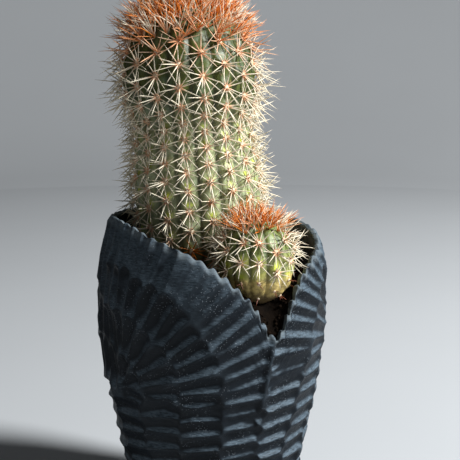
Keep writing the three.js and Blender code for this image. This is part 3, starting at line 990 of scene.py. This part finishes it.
class CACTUS_OT_build_stems(bpy.types.Operator):
    """Grows the ribbed main stem and its offset"""

    bl_idname = "cactus.build_stems"
    bl_label = "Build stems"

    def execute(self, context):
        for name, stem in stems().items():
            rows = round(stem.length / (1.05 * MM))
            around = stem.settings.ribs * 10
            profile = [(0, 0), *[(1, row) for row in range(rows)], (0, rows)]
            piece = make_piece(
                f"{name}_body", lathe(profile, around), f"{name}_skin", [f"{name}_stem"],
                skin_material(f"{name}_skin", stem.settings))
            points = get_points(piece.data)
            azimuth = azimuths(points)
            arc = points[:, 2] / rows * stem.length
            radius, valley, age, wool = stem.skin(azimuth, arc)
            x, y, z, _ = stem.at(arc)
            rough = np.array([noise.noise(Vector((a * 3, b * 90, 1.7))) for a, b in zip(azimuth, arc)])
            radius = radius * (1 + 0.012 * rough)
            radius[np.hypot(points[:, 0], points[:, 1]) < 0.5] = 0
            set_points(piece.data, on_axis(azimuth, radius, z, (x, y)))
            set_masks(piece.data, "growth", valley, age, wool)
        return {"FINISHED"}


# ---------------------------------------------------------------- spines


def spine_shape(name, bend):
    """A slender tapered spine of unit length along +Z, a little bent, with a swollen root."""
    bm = bmesh.new()
    bmesh.ops.create_circle(bm, cap_ends=True, segments=5, radius=1.25)
    ring = list(bm.faces)
    for along, radius in ((0.04, 1.0), (0.35, 0.8), (0.7, 0.48)):
        made = bmesh.ops.extrude_discrete_faces(bm, faces=ring)["faces"]
        ring = made
        before = sum((v.co.z for v in made[0].verts)) / 5
        scale = radius / max(v.co.xy.length for v in made[0].verts)
        bmesh.ops.scale(bm, vec=(scale, scale, 1), verts=made[0].verts)
        bmesh.ops.translate(bm, vec=(0, 0, along - before), verts=made[0].verts)
    poked = bmesh.ops.poke(bm, faces=ring)["verts"]
    bmesh.ops.translate(bm, vec=(0, 0, 0.3), verts=poked)
    for vert in bm.verts:
        vert.co.x += bend * vert.co.z ** 2
    bmesh.ops.recalc_face_normals(bm, faces=bm.faces)
    return mesh_of(name, bm)


def pad_shape():
    """The felt cushion of an areole, one unit in radius."""
    bm = bmesh.new()
    bmesh.ops.create_icosphere(bm, subdivisions=2, radius=1)
    bmesh.ops.scale(bm, vec=(1, 1.15, 0.6), verts=bm.verts)
    for vert in bm.verts:
        vert.co *= 1 + 0.16 * noise.noise(vert.co * 2.4)
    return mesh_of("pad", bm)


class SpineRow:
    """Gathers spines and felt pads into one bmesh."""

    def __init__(self, shapes, pad, thickness):
        self.bm = bmesh.new()
        self.horn = self.bm.verts.layers.float_color.new("horn")
        self.shapes = shapes
        self.pad = pad
        self.thickness = thickness

    def new_verts(self, mesh):
        first = len(self.bm.verts)
        self.bm.from_mesh(mesh)
        self.bm.verts.ensure_lookup_table()
        return self.bm.verts[first:]

    def spine(self, rng, root, way, up, long, warmth, thin=1.0):
        """A spine from root along way, bent towards up."""
        side = way.cross(up).normalized()
        bend = side.cross(way).normalized()
        chance = rng.random()
        wide = self.thickness * thin * rng.uniform(0.85, 1.15)
        for vert in self.new_verts(rng.choice(self.shapes)):
            x, y, z = vert.co
            vert.co = root + way * (z * long) + bend * (x * wide) + side * (y * wide)
            vert[self.horn] = (min(max(z, 0), 1), warmth, chance, 1)

    def cushion(self, rng, centre, normal, down, across, radius):
        first = len(self.bm.faces)
        size = radius * rng.uniform(0.85, 1.15)
        for vert in self.new_verts(self.pad):
            x, y, z = vert.co * size
            vert.co = centre + across * x + down * y + normal * z
            vert[self.horn] = (0, 0, 0, 1)
        self.bm.faces.ensure_lookup_table()
        for face in self.bm.faces[first:]:
            face.material_index = 1


def has_room(point):
    """True where a spine may end: clear of the pot's wall and above the soil."""
    azimuth = math.atan2(point.x, -point.y)
    out = math.hypot(point.x, point.y)
    inner = float(inner_radius(point.z))
    if out < inner + 2 * MM and point.z < float(soil_height(azimuth, out)) + 0.3 * MM:
        return False
    return point.z > float(rim_height(azimuth)) + 0.8 * MM or out < inner - 0.6 * MM


def fitted(root, way, long):
    """The length of a spine that clears the pot and the soil."""
    while long > 3 * MM and not all(has_room(root + way * (long * part)) for part in (0.6, 1.0)):
        long *= 0.85
    return long


def grow_areole(row, rng, stem, rib, arc, spines):
    """An areole with its felt, its low ring of spines and its standing ones."""
    point, normal, down, across = stem.seat(rib, arc)
    age = 1 - (point.z - stem.foot[2]) / stem.height
    near_crown = float(smoothstep(0.24, 0.12, age))
    dying = float(smoothstep(0.74, 0.86, age)) * rng.uniform(0.5, 2.4)
    warmth = near_crown * 0.55 + dying + rng.uniform(0, 0.14) + WARMTH[stem.name]
    seat = point + normal * 0.25 * MM
    if not has_room(seat + normal * 3 * MM):
        return
    bare = age > 1 - stem.settings.bare
    row.cushion(rng, seat, normal, down, across, (0.9 if bare else 1.5) * MM)
    grown = stem.settings.spine_length * (1 - 0.24 * float(smoothstep(0.3, 0.42, age)))
    turn = rng.uniform(-0.2, 0.2)
    if bare:
        for i in range(rng.randint(1, 4)):
            flat = down * rng.uniform(-1, 1) + across * rng.uniform(-1, 1)
            way = (normal + flat * 0.8).normalized()
            row.spine(rng, seat, way, flat, fitted(seat, way, rng.uniform(2.5, 5) * MM), 2.3, 0.8)
        return
    count = spines.radials + rng.choice((-1, 0, 0))
    for i in range(count):
        angle = turn + math.tau * i / count + rng.uniform(-0.13, 0.13)
        flat = down * math.cos(angle) + across * math.sin(angle)
        tilt = math.radians(rng.uniform(14, 36))
        way = (flat * math.cos(tilt) + normal * math.sin(tilt)).normalized()
        long = grown * rng.uniform(0.72, 1.04) * (1 + 0.14 * math.cos(angle))
        root = seat + flat * 0.9 * MM
        row.spine(rng, root, way, normal, fitted(root, way, long), warmth)
    for i in range(spines.centrals + round(2 * near_crown)):
        angle = rng.uniform(0, math.tau) if i else rng.uniform(-0.6, 0.6)
        flat = down * math.cos(angle) + across * math.sin(angle)
        tilt = math.radians(rng.uniform(48, 78))
        way = (flat * math.cos(tilt) + normal * math.sin(tilt)).normalized()
        long = grown * rng.uniform(0.9, 1.2)
        root = seat + flat * 0.4 * MM
        row.spine(rng, root, way, flat, fitted(root, way, long), warmth + 0.15, 1.1)


CROWN_SPINES = 9  # on each young areole


def grow_crown(row, rng, stem):
    """The growing point: young areoles packed in a spiral, their spines upright in the middle."""
    golden = math.pi * (3 - math.sqrt(5))
    count = round((stem.settings.crown_radius / (2.45 * MM)) ** 2)
    dome = stem.outline[stem.outline[:, 3].argmax():][::-1]
    for i in range(count):
        share = math.sqrt((i + 0.5) / count)
        radius = share * stem.settings.crown_radius
        z = float(np.interp(radius, dome[:, 3], dome[:, 2]))
        azimuth = i * golden
        out = Vector((math.sin(azimuth), -math.cos(azimuth), 0))
        centre = Vector((stem.outline[-1, 0], stem.outline[-1, 1], z)) + out * radius
        normal = (Vector((0, 0, 1)) + out * share * 0.75).normalized()
        across = Vector((0, 0, 1)).cross(out)
        down = across.cross(normal)
        if share < 0.5:
            row.cushion(rng, centre, normal, down, across, 0.8 * MM)
        for _ in range(CROWN_SPINES):
            angle = rng.uniform(0, math.tau)
            flat = down * math.cos(angle) + across * math.sin(angle)
            tilt = math.radians(rng.uniform(30, 82))
            lean = (flat * math.cos(tilt) + normal * math.sin(tilt) + out * share * 0.25).normalized()
            long = stem.settings.spine_length * rng.uniform(0.8, 1.25)
            warmth = rng.choice((0.1, 0.45, 0.75, 0.95, 1.15)) * (1.45 - 0.6 * share)
            if share < 0.45 and rng.random() < 0.5:
                warmth += 0.5
            row.spine(rng, centre, lean, out, long, warmth, 0.92)


class CACTUS_OT_build_spines(bpy.types.Operator):
    """Grows the spines of every rib and both crowns"""

    bl_idname = "cactus.build_spines"
    bl_label = "Build spines"

    def execute(self, context):
        spines = context.scene.cactus_spines
        materials = spine_material(spines), wool_material(spines)
        shapes = [spine_shape(f"spine_{i}", bend) for i, bend in enumerate((2.6, 4.2, -1.6, 0.6))]
        pad = pad_shape()
        for name, stem in stems().items():
            for rib, areoles in enumerate(stem.areoles):
                rng = random.Random(f"{name} {rib}")
                row = SpineRow(shapes, pad, spines.thickness)
                for arc in areoles:
                    grow_areole(row, rng, stem, rib, arc, spines)
                make_piece(
                    f"{name}_spine_row_{rib + 1:02d}", row.bm, "spines", [f"{name}_spines_rib_{rib + 1:02d}"],
                    *materials)
            row = SpineRow(shapes, pad, spines.thickness)
            grow_crown(row, random.Random(f"{name} crown"), stem)
            make_piece(f"{name}_crown", row.bm, "crown_spines", [f"{name}_crown_spines"], *materials)
        return {"FINISHED"}


# ---------------------------------------------------------------- stage


STAGE_SEGMENTS = 96
FLOOR_RADIUS = 1.2
SWEEP_RADIUS = 0.9  # of the curve from the floor up into the wall
WALL_HEIGHT = 2.6
LIGHT_AIM = (0, 0, 0.18)
COOL = (0.95, 0.98, 1.0)
WARM = (1.0, 0.98, 0.95)
CAMERA_PLACE = (0.0098, -0.6302, 0.2830)
CAMERA_AIM = (0.0098, 0, 0.1605)


def turned_to(place, aim):
    """The rotation that points a lamp or camera at place towards aim."""
    return (Vector(aim) - Vector(place)).to_track_quat("-Z", "Y").to_euler()


def floor_material(tone):
    material, nodes, shader, place = new_material("studio_floor")
    cloud = nodes.ramp(nodes.noise(place, 2.5, 3), 0.3, 0.7)
    dress(nodes, shader, nodes.mix(cloud, shade(tone, 0.97), tone), 0.85)
    return material


def add_light(name, place, size, power, tint):
    light = bpy.data.lights.new(name, "AREA")
    light.shape = "DISK"
    light.size = size
    light.energy = power
    light.color = tint
    lamp = bpy.data.objects.new(name, light)
    lamp.location = place
    lamp.visible_camera = False
    lamp.rotation_euler = turned_to(place, LIGHT_AIM)
    bpy.context.scene.collection.objects.link(lamp)


class CACTUS_OT_build_stage(bpy.types.Operator):
    """Adds the floor, the lights and the camera"""

    bl_idname = "cactus.build_stage"
    bl_label = "Build stage"

    def execute(self, context):
        stage = context.scene.cactus_stage
        pale = floor_material(stage.floor)
        flat = [(0, 0), (FLOOR_RADIUS / 2, 0), (FLOOR_RADIUS, 0)]
        floor = make_object("studio_floor", lathe(flat, STAGE_SEGMENTS), pale)
        sweep = [
            (FLOOR_RADIUS + SWEEP_RADIUS * math.sin(turn), SWEEP_RADIUS - SWEEP_RADIUS * math.cos(turn))
            for turn in np.linspace(0, math.pi / 2, 17)]
        sweep.append((FLOOR_RADIUS + SWEEP_RADIUS, WALL_HEIGHT))
        wall = make_object("studio_wall", lathe(sweep, STAGE_SEGMENTS), pale)
        # The wall is only a backdrop: it lights nothing and stops no light.
        wall.visible_diffuse = wall.visible_glossy = wall.visible_shadow = False

        add_light("key", (1.34, -0.42, 1.24), 0.4, stage.key, COOL)
        add_light("fill", (-0.9, -0.8, 0.5), 0.9, stage.fill, WARM)
        add_light("back", (0.25, 0.9, 0.8), 0.6, stage.fill, COOL)
        world = bpy.data.worlds.new("soft_room")
        world.use_nodes = True
        background = world.node_tree.nodes["Background"]
        background.inputs["Color"].default_value = (0.8, 0.86, 0.93, 1)
        background.inputs["Strength"].default_value = 0.045
        context.scene.world = world
        context.scene.view_settings.view_transform = "Standard"

        camera = bpy.data.cameras.new("camera")
        camera.sensor_width = 36
        camera.lens = 92.35
        camera.dof.use_dof = False
        camera.clip_start = 0.01
        viewer = bpy.data.objects.new("camera", camera)
        viewer.location = CAMERA_PLACE
        viewer.rotation_euler = turned_to(CAMERA_PLACE, CAMERA_AIM)
        context.scene.collection.objects.link(viewer)
        context.scene.camera = viewer
        return {"FINISHED"}


# ---------------------------------------------------------------- add-on

BUILDERS = (
    CACTUS_OT_build_pot,
    CACTUS_OT_build_stems,
    CACTUS_OT_build_spines,
    CACTUS_OT_build_soil,
    CACTUS_OT_build_stage,
)


class CACTUS_PT_panel(bpy.types.Panel):
    """Lists the cactus's settings and builders in the sidebar"""

    bl_idname = "CACTUS_PT_panel"
    bl_label = "Potted cactus"
    bl_space_type = "VIEW_3D"
    bl_region_type = "UI"
    bl_category = "Cactus"

    def draw(self, context):
        for name in SETTINGS:
            box = self.layout.box()
            settings = getattr(context.scene, name)
            for key in type(settings).__annotations__:
                box.prop(settings, key)
        for builder in BUILDERS:
            self.layout.operator(builder.bl_idname)


def register():
    for group in SETTINGS.values():
        bpy.utils.register_class(group)
    for name, group in SETTINGS.items():
        setattr(bpy.types.Scene, name, PointerProperty(type=group))
    for cls in (*BUILDERS, CACTUS_PT_panel):
        bpy.utils.register_class(cls)


def unregister():
    for cls in (CACTUS_PT_panel, *reversed(BUILDERS)):
        bpy.utils.unregister_class(cls)
    for name in SETTINGS:
        delattr(bpy.types.Scene, name)
    for group in reversed(SETTINGS.values()):
        bpy.utils.unregister_class(group)


def main():
    register()
    for builder in BUILDERS:
        group, operator = builder.bl_idname.split(".")
        getattr(getattr(bpy.ops, group), operator)()


if __name__ == "__main__":
    main()
